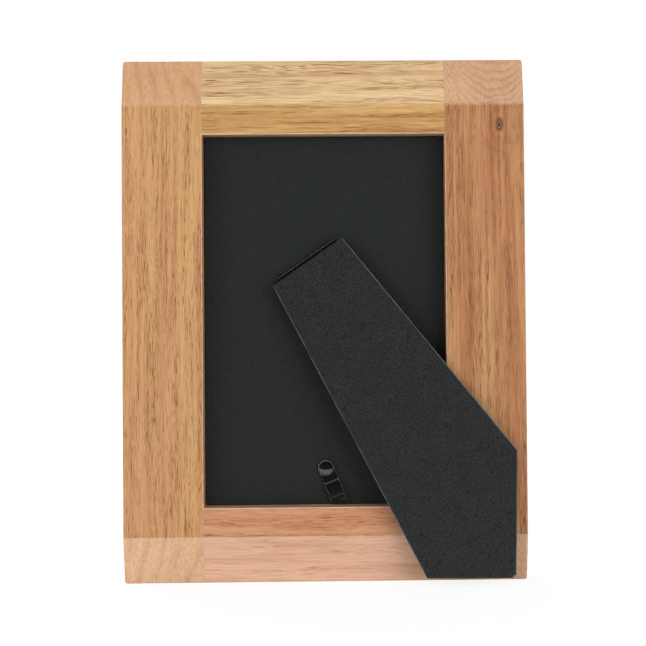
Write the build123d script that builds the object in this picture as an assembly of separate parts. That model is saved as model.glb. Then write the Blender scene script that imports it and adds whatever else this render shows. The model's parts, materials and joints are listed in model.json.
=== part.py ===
from build123d import *
import math
import os

# An easel back photo frame, in millimetres. +Z is up, the picture faces -Y and the back faces +Y.
# Left and right are as seen from behind, so the left stile is at +X.

# Wooden frame: two stiles of full height with two rails butted between them.
FRAME_WIDTH = 170.0
FRAME_HEIGHT = 221.0
FRAME_THICKNESS = 21.0
STILE_WIDTH = 33.7
RAIL_WIDTH = 32.0
LIP_WIDTH = 6.0
LIP_THICKNESS = 5.5
SLOPE_HEIGHT = 20.0
SLOPE_DEPTH = 5.0
TOP_SLOPE_ROUND = 8.0
BOTTOM_SLOPE_ROUND = 1.5
EDGE_ROUND = 1.0
SIGHT_ROUND = 0.8
REBATE_ROUND = 0.4

# Dowels across the four corner joints, two in each.
DOWEL_DIAMETER = 5.0
DOWEL_LENGTH = 28.0
DOWEL_SPACING = 14.0
DOWEL_FROM_FRONT = 9.5
DOWEL_CHAMFER = 0.6
DOWEL_FIT = 0.05
DOWEL_END_ROOM = 0.5

# Glass, bare insert and filler card, laid in the rebate from behind.
GLASS_THICKNESS = 2.0
INSERT_THICKNESS = 0.3
FILLER_THICKNESS = 1.5
LAYER_SIDE_ROOM = 0.5
LAYER_END_ROOM = 1.0
INSERT_END_ROOM = 2.3

# Backing board with its black paper.
BACKING_GAP = 0.3
BOARD_THICKNESS = 2.6
PAPER_THICKNESS = 0.3
BOARD_ROOM = 0.5
BOARD_CORNER_ROUND = 1.0

# Steel tabs, let into the front of the board, that hold its top edge in the top rail.
TAB_WIDTH = 12.0
TAB_LENGTH = 13.0
TAB_THICKNESS = 0.6
TAB_REACH = 2.4
TAB_SPACING = 52.0
TAB_RIVET_DIAMETER = 2.0
TAB_RIVET_DROP = 5.0
TAB_GROOVE_SIDE_ROOM = 2.0
TAB_GROOVE_END_ROOM = 0.6
TAB_GROOVE_FRONT_ROOM = 1.3
TAB_GROOVE_BACK_ROOM = 0.3

# Easel hinge: a pin through three knuckles, its two leaves hidden under the leg.
HINGE_OFFSET = 7.5
HINGE_RISE = 25.3
HINGE_ANGLE = 34.6
PIN_DIAMETER = 1.2
PIN_FIT = 0.05
BARREL_LIFT = 0.3
LEAF_THICKNESS = 0.6
LEAF_DEPTH = 11.0
END_KNUCKLE_LENGTH = 7.4
MIDDLE_KNUCKLE_LENGTH = 14.4
KNUCKLE_GAP = 0.3
HINGE_RIVET_SPACING = 18.0
HINGE_RIVET_DROP = 7.0
HINGE_RIVET_DIAMETER = 2.0
HINGE_RIVET_HEAD_DIAMETER = 3.4
HINGE_RIVET_HEAD_RIM = 0.15
HINGE_RIVET_HEAD_DOME = 0.35

# Easel leg: a stiff core in a leather-grained cover, with a lining between its turned-in margins.
LEG_TOP_WIDTH = 35.8
LEG_TOP_SETBACK = 0.95
LEG_LEFT_FLARE_ANGLE = 7.0
LEG_RIGHT_FLARE_ANGLE = 4.3
FOOT_RISE = 2.6
FOOT_SIDE_ROOM = 4.6
FOOT_TAPER = 1.3
LEG_CORNER_ROUND = 1.0
LEG_LINING_THICKNESS = 0.25
LEG_LINING_INSET = 6.0
LEG_CORE_THICKNESS = 2.2
LEG_COVER_THICKNESS = 0.4
LEG_COVER_ROUND = 0.5
LEG_REST_CLEARANCE = 0.25

# Turn clip: a bent steel strip on a domed rivet, above the middle of the bottom rail.
CLIP_RIVET_RISE = 15.7
CLIP_ANGLE = 22.4
CLIP_WIDTH = 6.4
CLIP_THICKNESS = 0.7
CLIP_FLAT_START = 6.9
CLIP_FLAT_LENGTH = 6.0
CLIP_RAMP_RUN = 0.9
CLIP_FLAT_LIFT = 0.9
CLIP_BEND_RADIUS = 0.4
CLIP_TIP_CLEARANCE = 0.25
CLIP_PLAY = 0.1
CLIP_RIVET_DIAMETER = 3.0
CLIP_RIVET_FIT = 0.08
CLIP_RIVET_HEAD_DIAMETER = 6.5
CLIP_RIVET_HEAD_RIM = 0.3
CLIP_RIVET_HEAD_DOME = 0.75
WASHER_DIAMETER = 7.0
WASHER_THICKNESS = 0.4
CLIP_GROOVE_ROOM = 0.35

# Radial room of every rivet in the holes that it only passes through, and how far cuts run past a face.
RIVET_FIT = 0.05
CUT_OVERRUN = 1.0

# Levels through the thickness, from the picture side to the back.
FRONT_Y = -FRAME_THICKNESS / 2
BACK_Y = FRAME_THICKNESS / 2
SEAT_Y = FRONT_Y + LIP_THICKNESS
GLASS_BACK_Y = SEAT_Y + GLASS_THICKNESS
INSERT_BACK_Y = GLASS_BACK_Y + INSERT_THICKNESS
FILLER_BACK_Y = INSERT_BACK_Y + FILLER_THICKNESS
BOARD_FRONT_Y = FILLER_BACK_Y + BACKING_GAP
BOARD_BACK_Y = BOARD_FRONT_Y + BOARD_THICKNESS
PAPER_BACK_Y = BOARD_BACK_Y + PAPER_THICKNESS
RECESS_DEPTH = BACK_Y - PAPER_BACK_Y

# Heights, and the openings of the frame.
REBATE_WIDTH = FRAME_WIDTH - 2 * STILE_WIDTH
REBATE_HEIGHT = FRAME_HEIGHT - 2 * RAIL_WIDTH
REBATE_BOTTOM_Z = RAIL_WIDTH
REBATE_TOP_Z = FRAME_HEIGHT - RAIL_WIDTH
CENTRE_Z = FRAME_HEIGHT / 2
SIGHT_WIDTH = REBATE_WIDTH - 2 * LIP_WIDTH
BOARD_WIDTH = REBATE_WIDTH - 2 * BOARD_ROOM
BOARD_HEIGHT = REBATE_HEIGHT - 2 * BOARD_ROOM
BOARD_TOP_Z = REBATE_TOP_Z - BOARD_ROOM

# Hinge sizes that follow from its pin and strip, the leg's half widths at the pin, and how far
# its foot lies below and beside the pin, just inside the frame's outline.
KNUCKLE_BORE_RADIUS = PIN_DIAMETER / 2 + PIN_FIT
KNUCKLE_RADIUS = KNUCKLE_BORE_RADIUS + LEAF_THICKNESS
PIN_LEVEL = KNUCKLE_RADIUS + BARREL_LIFT
BARREL_LENGTH = MIDDLE_KNUCKLE_LENGTH + 2 * (END_KNUCKLE_LENGTH + KNUCKLE_GAP)
LEAF_EDGE = KNUCKLE_RADIUS + KNUCKLE_GAP
HINGE_SINE = math.sin(math.radians(HINGE_ANGLE))
HINGE_COSINE = math.cos(math.radians(HINGE_ANGLE))
LEFT_FLARE = math.tan(math.radians(LEG_LEFT_FLARE_ANGLE))
RIGHT_FLARE = math.tan(math.radians(LEG_RIGHT_FLARE_ANGLE))
LEFT_HALF = LEG_TOP_WIDTH / 2 - LEG_TOP_SETBACK * LEFT_FLARE
RIGHT_HALF = LEG_TOP_WIDTH / 2 - LEG_TOP_SETBACK * RIGHT_FLARE
HINGE_Z = CENTRE_Z + HINGE_RISE
FOOT_DROP = HINGE_Z - FOOT_RISE
FOOT_REACH = FRAME_WIDTH / 2 - FOOT_SIDE_ROOM + HINGE_OFFSET

# The closed leg lies just clear of the right stile's inner edge. This is the distance down the leg,
# from the pin, at which its right side crosses that edge, and the angle that the leg then stands at.
LEG_CROSSING_REACH = REBATE_WIDTH / 2 + HINGE_OFFSET
LEG_CROSSING_RUN = LEG_CROSSING_REACH - HINGE_COSINE * RIGHT_HALF
LEG_CROSSING = LEG_CROSSING_RUN / (HINGE_SINE + HINGE_COSINE * RIGHT_FLARE)
LEG_LIFT = RECESS_DEPTH + LEG_REST_CLEARANCE - PIN_LEVEL - KNUCKLE_RADIUS
LEG_REST_ANGLE = math.degrees(math.asin(LEG_LIFT / LEG_CROSSING))

# Layers of the leg, measured out from the pin.
LINING_LEVEL = KNUCKLE_RADIUS
CORE_LEVEL = LINING_LEVEL + LEG_LINING_THICKNESS
COVER_LEVEL = CORE_LEVEL + LEG_CORE_THICKNESS
LEG_BACK_LEVEL = COVER_LEVEL + LEG_COVER_THICKNESS

# Turn clip: its levels above the back, and the sweep of its longer tip corner.
CLIP_RIVET_Z = REBATE_BOTTOM_Z + CLIP_RIVET_RISE
CLIP_LEVEL = WASHER_THICKNESS + CLIP_PLAY
CLIP_HEAD_LEVEL = CLIP_LEVEL + CLIP_THICKNESS + CLIP_PLAY
CLIP_SINE = math.sin(math.radians(CLIP_ANGLE))
CLIP_COSINE = math.cos(math.radians(CLIP_ANGLE))
CLIP_TIP_DROP = CLIP_RIVET_RISE - CLIP_TIP_CLEARANCE
CLIP_SHORT_SIDE = (CLIP_TIP_DROP - CLIP_WIDTH / 2 * CLIP_SINE) / CLIP_COSINE
CLIP_LONG_SIDE = (CLIP_TIP_DROP + CLIP_WIDTH / 2 * CLIP_SINE) / CLIP_COSINE
CLIP_SWEEP = math.hypot(CLIP_LONG_SIDE, CLIP_WIDTH / 2) + CLIP_GROOVE_ROOM

# Working planes, each with its normal towards the back. Along the hinge, x runs up to the right.
# Along the clip, x runs from its rivet to its tip.
TOWARDS_BACK = (0, 1, 0)
HINGE_PLANE = Plane(
    origin=(HINGE_OFFSET, PAPER_BACK_Y + PIN_LEVEL, HINGE_Z),
    x_dir=(-HINGE_COSINE, 0, HINGE_SINE),
    z_dir=TOWARDS_BACK,
)
LEG_PLANE = Plane(HINGE_PLANE.location * Rot(X=-LEG_REST_ANGLE))
CLIP_PLANE = Plane(
    origin=(0, PAPER_BACK_Y, CLIP_RIVET_Z),
    x_dir=(-CLIP_SINE, 0, -CLIP_COSINE),
    z_dir=TOWARDS_BACK,
)


def back_plane(level, x=0, z=CENTRE_Z):
    """A plane parallel to the picture, at one level through the thickness."""
    return Plane(origin=(x, level, z), x_dir=(1, 0, 0), z_dir=TOWARDS_BACK)


def block(low, high):
    """A box between two corners."""
    sizes = [top - bottom for bottom, top in zip(low, high)]
    return Pos(*low) * Box(*sizes, align=(Align.MIN, Align.MIN, Align.MIN))


def rod(plane, radius, start, end):
    """A round bar along a plane's normal, from one level to another."""
    bar = Cylinder(radius, end - start, align=(Align.CENTER, Align.CENTER, Align.MIN))
    return plane * Pos(0, 0, start) * bar


def domed_rivet(shank_radius, tail, head_radius, head_level, rim, dome):
    """A rivet along z: its shank from the tail up to the head, then a flat rim and a dome."""
    dome_base = head_level + rim
    dome_radius = (head_radius**2 + dome**2) / (2 * dome)
    dome_centre = dome_base + dome - dome_radius
    half_turn = math.asin(head_radius / dome_radius) / 2
    arc_middle = (dome_radius * math.sin(half_turn), dome_centre + dome_radius * math.cos(half_turn))
    outline = Polyline(
        (0, dome_base + dome),
        (0, tail),
        (shank_radius, tail),
        (shank_radius, head_level),
        (head_radius, head_level),
        (head_radius, dome_base),
    )
    outline += ThreePointArc((head_radius, dome_base), arc_middle, (0, dome_base + dome))
    return revolve(Plane.XZ * make_face(outline), Axis.Z)


# Wooden frame. The outside is one sloped and rounded slab, which the rebate opens and the seams divide.
def frame_slab():
    """The outside of the frame: flat back, sloping away at the top and bottom, with eased edges."""
    side = Polyline(
        (FRONT_Y, 0),
        (BACK_Y - SLOPE_DEPTH, 0),
        (BACK_Y, SLOPE_HEIGHT),
        (BACK_Y, FRAME_HEIGHT - SLOPE_HEIGHT),
        (BACK_Y - SLOPE_DEPTH, FRAME_HEIGHT),
        (FRONT_Y, FRAME_HEIGHT),
        close=True,
    )
    profile = make_face(side)
    for end, radius in ((0, BOTTOM_SLOPE_ROUND), (-1, TOP_SLOPE_ROUND)):
        slope_starts = profile.vertices().group_by(Axis.X)[-1].sort_by(Axis.Y)
        profile = fillet(slope_starts[end], radius)
    slab = extrude(Plane.YZ * profile, FRAME_WIDTH / 2, both=True)
    ends = slab.faces().filter_by(Axis.X).edges()
    long_edges = slab.edges().filter_by(Axis.X)
    outer = [edge for edge in long_edges if abs(edge.center().Z - CENTRE_Z) > CENTRE_Z - EDGE_ROUND]
    return fillet(ends + outer, EDGE_ROUND)


def frame_opening():
    """The rebate from behind and the sight opening in front of it."""
    half_rebate = REBATE_WIDTH / 2
    half_sight = SIGHT_WIDTH / 2
    rebate = block(
        (-half_rebate, SEAT_Y, REBATE_BOTTOM_Z), (half_rebate, BACK_Y + CUT_OVERRUN, REBATE_TOP_Z)
    )
    sight = block(
        (-half_sight, FRONT_Y - CUT_OVERRUN, REBATE_BOTTOM_Z + LIP_WIDTH),
        (half_sight, BACK_Y, REBATE_TOP_Z - LIP_WIDTH),
    )
    return rebate + sight


def frame_whole():
    """The frame with its opening, before it is divided at the seams."""
    whole = frame_slab() - frame_opening()
    sight_edges = whole.faces().sort_by(Axis.Y)[0].inner_wires()[0].edges()
    whole = fillet(sight_edges, SIGHT_ROUND)
    rebate_edges = whole.faces().sort_by(Axis.Y)[-1].inner_wires()[0].edges()
    return fillet(rebate_edges, REBATE_ROUND)


def stile_zone(side):
    """The space of one stile: its full thickness outside the rebate, and its front lip."""
    near = side * SIGHT_WIDTH / 2
    seam = side * REBATE_WIDTH / 2
    far = side * FRAME_WIDTH / 2
    body = block((min(seam, far), FRONT_Y, 0), (max(seam, far), BACK_Y, FRAME_HEIGHT))
    lip = block((min(near, seam), FRONT_Y, 0), (max(near, seam), SEAT_Y, FRAME_HEIGHT))
    return body + lip


def rail_zone(low, high):
    """The space of one rail between two heights: behind the lips, and between them."""
    behind = block((-REBATE_WIDTH / 2, SEAT_Y, low), (REBATE_WIDTH / 2, BACK_Y, high))
    between = block((-SIGHT_WIDTH / 2, FRONT_Y, low), (SIGHT_WIDTH / 2, SEAT_Y, high))
    return behind + between


def dowels(radius, length):
    """Eight pegs along X, two across each corner joint."""
    pegs = []
    for side in (-1, 1):
        for rail_middle in (RAIL_WIDTH / 2, FRAME_HEIGHT - RAIL_WIDTH / 2):
            for step in (-1, 1):
                height = rail_middle + step * DOWEL_SPACING / 2
                place = Pos(side * REBATE_WIDTH / 2, FRONT_Y + DOWEL_FROM_FRONT, height)
                pegs.append(place * Rot(Y=90) * Cylinder(radius, length))
    return pegs


def tab_groove(x):
    """The slot in the top rail that one tab reaches into, with room for the back to tip out."""
    half = TAB_WIDTH / 2 + TAB_GROOVE_SIDE_ROOM
    front = BOARD_FRONT_Y - TAB_GROOVE_FRONT_ROOM
    back = BOARD_FRONT_Y + TAB_THICKNESS + TAB_GROOVE_BACK_ROOM
    top = REBATE_TOP_Z + TAB_REACH + TAB_GROOVE_END_ROOM
    return block((x - half, front, REBATE_TOP_Z - CUT_OVERRUN), (x + half, back, top))


def clip_groove():
    """The slot in the bottom rail that the clip's tip sweeps through when it is turned straight down."""
    half = math.sqrt(CLIP_SWEEP**2 - CLIP_RIVET_RISE**2) + CLIP_GROOVE_ROOM
    tip = PAPER_BACK_Y + CLIP_LEVEL
    return block(
        (-half, tip - CLIP_GROOVE_ROOM, CLIP_RIVET_Z - CLIP_SWEEP),
        (half, tip + CLIP_THICKNESS + CLIP_GROOVE_ROOM, REBATE_BOTTOM_Z + CUT_OVERRUN),
    )


TAB_PLACES = (-TAB_SPACING / 2, TAB_SPACING / 2)
dowel_holes = dowels(DOWEL_DIAMETER / 2 + DOWEL_FIT, DOWEL_LENGTH + 2 * DOWEL_END_ROOM)
corner_dowels = [chamfer(peg.edges(), DOWEL_CHAMFER) for peg in dowels(DOWEL_DIAMETER / 2, DOWEL_LENGTH)]
frame = frame_whole()
left_stile = (frame & stile_zone(1)) - dowel_holes
right_stile = (frame & stile_zone(-1)) - dowel_holes
top_rail = (frame & rail_zone(REBATE_TOP_Z - LIP_WIDTH, FRAME_HEIGHT)) - dowel_holes
top_rail -= [tab_groove(x) for x in TAB_PLACES]
bottom_rail = (frame & rail_zone(0, REBATE_BOTTOM_Z + LIP_WIDTH)) - dowel_holes
bottom_rail -= clip_groove()


# Layers in the rebate, from the glass back.
def layer(front, back, side_room, end_room):
    """A flat sheet in the rebate, with room at its sides and ends."""
    half = REBATE_WIDTH / 2 - side_room
    return block((-half, front, REBATE_BOTTOM_Z + end_room), (half, back, REBATE_TOP_Z - end_room))


glass_pane = layer(SEAT_Y, GLASS_BACK_Y, LAYER_SIDE_ROOM, LAYER_END_ROOM)
photo_insert = layer(GLASS_BACK_Y, INSERT_BACK_Y, LAYER_SIDE_ROOM, INSERT_END_ROOM)
filler_card = layer(INSERT_BACK_Y, FILLER_BACK_Y, LAYER_SIDE_ROOM, LAYER_END_ROOM)


# Tabs and their rivets, flush with both faces of the board.
def tab(x):
    """One steel tab, let into the board's front face and standing above its top edge."""
    top = REBATE_TOP_Z + TAB_REACH
    return block(
        (x - TAB_WIDTH / 2, BOARD_FRONT_Y, top - TAB_LENGTH),
        (x + TAB_WIDTH / 2, BOARD_FRONT_Y + TAB_THICKNESS, top),
    )


def tab_rivet(x, radius):
    """One rivet through a tab and the board."""
    return rod(back_plane(BOARD_FRONT_Y, x, BOARD_TOP_Z - TAB_RIVET_DROP), radius, 0, BOARD_THICKNESS)


tab_rivets = [tab_rivet(x, TAB_RIVET_DIAMETER / 2) for x in TAB_PLACES]
tab_rivet_holes = [tab_rivet(x, TAB_RIVET_DIAMETER / 2 + RIVET_FIT) for x in TAB_PLACES]
top_tabs = [tab(x) - tab_rivet_holes for x in TAB_PLACES]


# Easel hinge, drawn along its pin: x along the pin, y up from the leg, z out from the back.
HINGE_RIVET_PLACES = (-HINGE_RIVET_SPACING / 2, HINGE_RIVET_SPACING / 2)
MIDDLE_SPAN = (-MIDDLE_KNUCKLE_LENGTH / 2, MIDDLE_KNUCKLE_LENGTH / 2)
LOWER_SPAN = (-BARREL_LENGTH / 2, -BARREL_LENGTH / 2 + END_KNUCKLE_LENGTH)
UPPER_SPAN = (BARREL_LENGTH / 2 - END_KNUCKLE_LENGTH, BARREL_LENGTH / 2)


def along_pin(radius, start, end):
    """A round bar on the pin's axis."""
    return rod(Plane.YZ, radius, start, end)


def hinge_leaf(spans, low, high):
    """A flat leaf below the pin, at one level, with knuckles rolled from it over some spans of the pin."""
    leaf = block((-BARREL_LENGTH / 2, -LEAF_DEPTH, low), (BARREL_LENGTH / 2, -LEAF_EDGE, high))
    for start, end in spans:
        leaf += block((start, -LEAF_EDGE, low), (end, 0, high))
        leaf += along_pin(KNUCKLE_RADIUS, start, end)
    leaf -= along_pin(KNUCKLE_BORE_RADIUS, -BARREL_LENGTH / 2, BARREL_LENGTH / 2)
    for x in HINGE_RIVET_PLACES:
        leaf -= Pos(x, -HINGE_RIVET_DROP) * rod(Plane.XY, HINGE_RIVET_DIAMETER / 2 + RIVET_FIT, low, high)
    return leaf


def hinge_rivet(x, tail, head_level):
    """One rivet through a leaf, its head standing on the leaf."""
    shape = domed_rivet(
        HINGE_RIVET_DIAMETER / 2,
        tail,
        HINGE_RIVET_HEAD_DIAMETER / 2,
        head_level,
        HINGE_RIVET_HEAD_RIM,
        HINGE_RIVET_HEAD_DOME,
    )
    return Pos(x, -HINGE_RIVET_DROP) * shape


BOARD_LEAF_TOP = LEAF_THICKNESS - PIN_LEVEL
BOARD_RIVET_TAIL = -PIN_LEVEL - PAPER_THICKNESS - BOARD_THICKNESS
hinge_board_leaf = HINGE_PLANE * hinge_leaf((LOWER_SPAN, UPPER_SPAN), -PIN_LEVEL, BOARD_LEAF_TOP)
hinge_leg_leaf = LEG_PLANE * hinge_leaf((MIDDLE_SPAN,), KNUCKLE_RADIUS - LEAF_THICKNESS, KNUCKLE_RADIUS)
hinge_pin = HINGE_PLANE * along_pin(PIN_DIAMETER / 2, -BARREL_LENGTH / 2, BARREL_LENGTH / 2)
hinge_board_rivets = [
    HINGE_PLANE * hinge_rivet(x, BOARD_RIVET_TAIL, BOARD_LEAF_TOP) for x in HINGE_RIVET_PLACES
]
# The leg's rivets point outwards, so they are drawn head up and turned over along the pin.
hinge_leg_rivets = [
    LEG_PLANE * mirror(hinge_rivet(x, -COVER_LEVEL, LEAF_THICKNESS - KNUCKLE_RADIUS), Plane.XY)
    for x in HINGE_RIVET_PLACES
]


# Easel leg, in the hinge's directions: it runs down from the pin, so its y is negative.
def leg_outline(inset):
    """The leg's outline: a flared strip whose foot is cut level below and nearly upright at the right."""
    top_half = LEG_TOP_WIDTH / 2
    left_run = (FOOT_DROP - HINGE_SINE * LEFT_HALF) / (HINGE_COSINE + HINGE_SINE * LEFT_FLARE)
    right_run = (FOOT_REACH - HINGE_COSINE * RIGHT_HALF) / (HINGE_SINE + HINGE_COSINE * RIGHT_FLARE)
    left_foot = (-LEFT_HALF - left_run * LEFT_FLARE, -left_run)
    elbow = (RIGHT_HALF + right_run * RIGHT_FLARE, -right_run)
    right_foot_reach = FOOT_REACH - FOOT_TAPER
    right_foot = (
        right_foot_reach * HINGE_COSINE - FOOT_DROP * HINGE_SINE,
        -right_foot_reach * HINGE_SINE - FOOT_DROP * HINGE_COSINE,
    )
    corners = Polyline(
        (-top_half, -LEG_TOP_SETBACK),
        left_foot,
        right_foot,
        elbow,
        (top_half, -LEG_TOP_SETBACK),
        close=True,
    )
    outline = make_face(corners)
    outline = fillet(outline.vertices(), LEG_CORNER_ROUND)
    if inset:
        outline = offset(outline, -inset)
    return outline


def leg_slice(inset, low, high):
    """A flat part of the leg between two levels out from the pin."""
    return extrude(Pos(0, 0, low) * leg_outline(inset), high - low, dir=(0, 0, 1))


leg_rivet_holes = [
    Pos(x, -HINGE_RIVET_DROP) * rod(Plane.XY, HINGE_RIVET_DIAMETER / 2 + RIVET_FIT, LINING_LEVEL, COVER_LEVEL)
    for x in HINGE_RIVET_PLACES
]
leg_wrap = leg_slice(0, LINING_LEVEL, LEG_BACK_LEVEL)
leg_wrap = fillet(leg_wrap.faces().sort_by(Axis.Z)[-1].edges(), LEG_COVER_ROUND)
leg_filling = leg_slice(LEG_COVER_THICKNESS, CORE_LEVEL, COVER_LEVEL)
leg_window = leg_slice(LEG_LINING_INSET, LINING_LEVEL, CORE_LEVEL)
leg_cover = LEG_PLANE * (leg_wrap - leg_filling - leg_window - leg_rivet_holes)
leg_core = LEG_PLANE * (leg_filling - leg_rivet_holes)
leg_lining = LEG_PLANE * (leg_window - leg_rivet_holes)


# Turn clip, along its own length: a flat round the rivet, a raised grip, and a slanting tip.
def clip_side():
    """The strip's side view, with the same thickness through its four rounded bends."""
    level = CLIP_LEVEL
    raised = level + CLIP_FLAT_LIFT
    lean = CLIP_THICKNESS * math.tan(math.atan2(CLIP_FLAT_LIFT, CLIP_RAMP_RUN) / 2)
    up = CLIP_FLAT_START
    down = CLIP_FLAT_START + CLIP_FLAT_LENGTH
    under = [
        (-CLIP_WIDTH, level),
        (up - CLIP_RAMP_RUN, level),
        (up, raised),
        (down, raised),
        (down + CLIP_RAMP_RUN, level),
        (CLIP_SWEEP, level),
    ]
    shifts = (0, -lean, -lean, lean, lean, 0)
    over = [(x + shift, y + CLIP_THICKNESS) for (x, y), shift in zip(under, shifts)]
    profile = make_face(Polyline(*under, *reversed(over), close=True))
    inner = (over[1], under[2], under[3], over[4])
    outer = (under[1], over[2], over[3], under[4])
    for corners, radius in ((inner, CLIP_BEND_RADIUS), (outer, CLIP_BEND_RADIUS + CLIP_THICKNESS)):
        bends = [profile.vertices().sort_by_distance((x, y, 0))[0] for x, y in corners]
        profile = fillet(bends, radius)
    return profile


def clip_plan():
    """The strip from above: round at the rivet, and cut along the bottom rail's wall at the tip."""
    half = CLIP_WIDTH / 2
    outline = Polyline((0, half), (CLIP_LONG_SIDE, half), (CLIP_SHORT_SIDE, -half), (0, -half))
    outline += ThreePointArc((0, -half), (-half, 0), (0, half))
    return make_face(outline)


clip_height = CLIP_LEVEL + CLIP_FLAT_LIFT + CLIP_THICKNESS + CUT_OVERRUN
clip_strip = extrude(Plane.XZ * clip_side(), CLIP_WIDTH, both=True) & extrude(clip_plan(), clip_height)
clip_strip -= rod(Plane.XY, CLIP_RIVET_DIAMETER / 2 + CLIP_RIVET_FIT, 0, clip_height)
turn_clip = CLIP_PLANE * clip_strip

CLIP_RIVET_TAIL = -PAPER_THICKNESS - BOARD_THICKNESS
clip_rivet_hole = rod(CLIP_PLANE, CLIP_RIVET_DIAMETER / 2 + RIVET_FIT, CLIP_RIVET_TAIL, CLIP_LEVEL)
clip_rivet = CLIP_PLANE * domed_rivet(
    CLIP_RIVET_DIAMETER / 2,
    CLIP_RIVET_TAIL,
    CLIP_RIVET_HEAD_DIAMETER / 2,
    CLIP_HEAD_LEVEL,
    CLIP_RIVET_HEAD_RIM,
    CLIP_RIVET_HEAD_DOME,
)
clip_washer = rod(CLIP_PLANE, WASHER_DIAMETER / 2, 0, WASHER_THICKNESS) - clip_rivet_hole


# Backing board and its paper, with holes for the rivets and recesses for the tabs.
def backing_sheet(front, back):
    """A sheet of the board's outline between two levels."""
    outline = RectangleRounded(BOARD_WIDTH, BOARD_HEIGHT, BOARD_CORNER_ROUND)
    return extrude(back_plane(front) * outline, back - front, dir=TOWARDS_BACK)


hinge_rivet_holes = [
    HINGE_PLANE * Pos(x, -HINGE_RIVET_DROP)
    * rod(Plane.XY, HINGE_RIVET_DIAMETER / 2 + RIVET_FIT, BOARD_RIVET_TAIL, -PIN_LEVEL)
    for x in HINGE_RIVET_PLACES
]
backing_board = backing_sheet(BOARD_FRONT_Y, BOARD_BACK_Y) - hinge_rivet_holes - clip_rivet_hole
backing_board -= tab_rivet_holes
backing_board -= [tab(x) for x in TAB_PLACES]
backing_paper = backing_sheet(BOARD_BACK_Y, PAPER_BACK_Y) - hinge_rivet_holes - clip_rivet_hole


# One file for each piece, with like small pieces together.
PIECES = {
    "left_stile": left_stile,
    "right_stile": right_stile,
    "top_rail": top_rail,
    "bottom_rail": bottom_rail,
    "corner_dowels": Compound(corner_dowels),
    "glass_pane": glass_pane,
    "photo_insert": photo_insert,
    "filler_card": filler_card,
    "backing_board": backing_board,
    "backing_paper": backing_paper,
    "top_tabs": Compound(top_tabs),
    "tab_rivets": Compound(tab_rivets),
    "hinge_board_leaf": hinge_board_leaf,
    "hinge_leg_leaf": hinge_leg_leaf,
    "hinge_pin": hinge_pin,
    "hinge_board_rivets": Compound(hinge_board_rivets),
    "hinge_leg_rivets": Compound(hinge_leg_rivets),
    "leg_core": leg_core,
    "leg_cover": leg_cover,
    "leg_lining": leg_lining,
    "turn_clip": turn_clip,
    "clip_rivet": clip_rivet,
    "clip_washer": clip_washer,
}
os.makedirs("parts", exist_ok=True)
for name, shape in PIECES.items():
    export_step(shape, f"parts/{name}.step")
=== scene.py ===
import json
import math

import bmesh
import bpy
from mathutils import Matrix, Vector


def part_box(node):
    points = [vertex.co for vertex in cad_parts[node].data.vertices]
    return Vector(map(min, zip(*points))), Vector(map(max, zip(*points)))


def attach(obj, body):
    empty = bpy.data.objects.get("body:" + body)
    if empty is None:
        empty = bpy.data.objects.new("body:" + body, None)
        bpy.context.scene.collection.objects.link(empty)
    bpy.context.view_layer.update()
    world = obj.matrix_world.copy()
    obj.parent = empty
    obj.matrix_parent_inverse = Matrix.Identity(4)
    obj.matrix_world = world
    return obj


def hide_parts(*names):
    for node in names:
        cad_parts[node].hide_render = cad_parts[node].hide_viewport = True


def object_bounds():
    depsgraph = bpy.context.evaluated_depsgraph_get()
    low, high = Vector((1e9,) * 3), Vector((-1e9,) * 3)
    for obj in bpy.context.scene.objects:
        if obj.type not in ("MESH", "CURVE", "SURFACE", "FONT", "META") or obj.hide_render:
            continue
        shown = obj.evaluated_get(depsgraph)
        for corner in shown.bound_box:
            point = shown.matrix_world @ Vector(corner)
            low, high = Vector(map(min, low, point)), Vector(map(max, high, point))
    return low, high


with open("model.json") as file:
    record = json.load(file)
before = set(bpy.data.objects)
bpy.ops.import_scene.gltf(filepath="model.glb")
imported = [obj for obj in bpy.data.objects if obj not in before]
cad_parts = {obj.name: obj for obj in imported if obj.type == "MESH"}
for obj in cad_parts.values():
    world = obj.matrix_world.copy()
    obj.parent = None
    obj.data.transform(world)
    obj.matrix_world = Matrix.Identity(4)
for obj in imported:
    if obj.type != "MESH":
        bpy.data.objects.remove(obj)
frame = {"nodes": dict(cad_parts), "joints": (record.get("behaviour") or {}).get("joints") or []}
cad_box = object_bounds()


# Wooden frame: two stiles with upright grain and two rails with level grain, of open-pored hardwood, which
# are butted, dowelled and glued. The back is planed flat, slopes away at the top and bottom, and is oiled.
MM = 0.001
nodes = frame["nodes"]


def linear(tone):
    """An sRGB colour, written as hex, in linear light."""
    channels = [int(tone[i : i + 2], 16) / 255 for i in (0, 2, 4)]
    return [c / 12.92 if c <= 0.04045 else ((c + 0.055) / 1.055) ** 2.4 for c in channels] + [1.0]


def wire(tree, node, inputs):
    """Fills a node's inputs, given by name or number, with values, colours or links from other nodes."""
    sockets = [socket for socket in node.inputs if socket.enabled]
    for place, value in inputs.items():
        socket = sockets[place] if isinstance(place, int) else next(s for s in sockets if s.name == place)
        if isinstance(value, bpy.types.Node):
            value = next(output for output in value.outputs if output.enabled)
        if isinstance(value, bpy.types.NodeSocket):
            tree.links.new(value, socket)
        else:
            socket.default_value = linear(value) if isinstance(value, str) else value


def add(tree, kind, inputs, stops=(), **settings):
    """Adds a shader node with its settings, its inputs and, on a colour ramp, its stops."""
    node = tree.nodes.new("ShaderNode" + kind)
    for name, value in settings.items():
        setattr(node, name, value)
    wire(tree, node, inputs)
    for number, (position, value) in enumerate(stops):
        elements = node.color_ramp.elements
        stop = elements[number] if number < len(elements) else elements.new(position)
        stop.position = position
        stop.color = linear(value) if isinstance(value, str) else (value, value, value, 1)
    return node


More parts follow.
